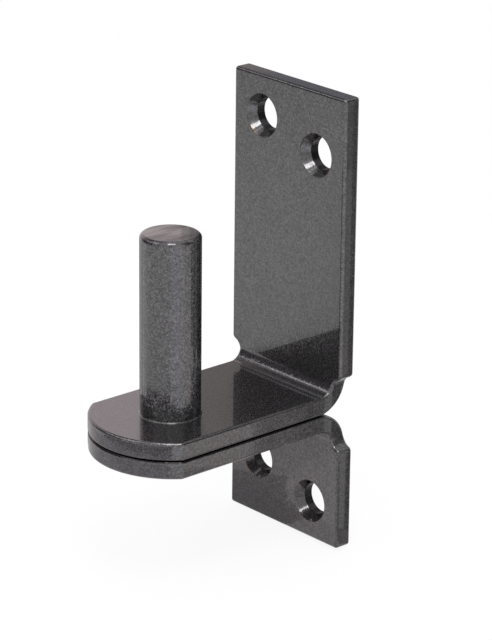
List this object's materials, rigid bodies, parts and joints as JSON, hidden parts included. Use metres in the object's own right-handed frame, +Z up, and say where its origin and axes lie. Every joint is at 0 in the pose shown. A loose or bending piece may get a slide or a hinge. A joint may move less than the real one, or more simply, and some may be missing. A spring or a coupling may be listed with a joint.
{
  "type": "gate hinge pin",
  "caption": "Screw-on gate hinge pin: a round upright pin riveted through the tongues of a tall and a short bent plate, which screw flat to a post.",
  "frame": {"origin": "on the pin's axis at the top face of the upper tongue, where the gate's eye sits", "axes": "+Z up along the pin, towards its free end; +Y from the pin to the post; +X across the plates' width"},
  "size_m": [0.0428, 0.0663, 0.1247],
  "materials": {
    "coated_steel": "semi-gloss graphite powder coat with fine metallic flakes"
  },
  "bodies": {
    "root": {"upper_bracket": "coated_steel", "lower_bracket": "coated_steel", "pin": "coated_steel"}
  },
  "joints": []
}
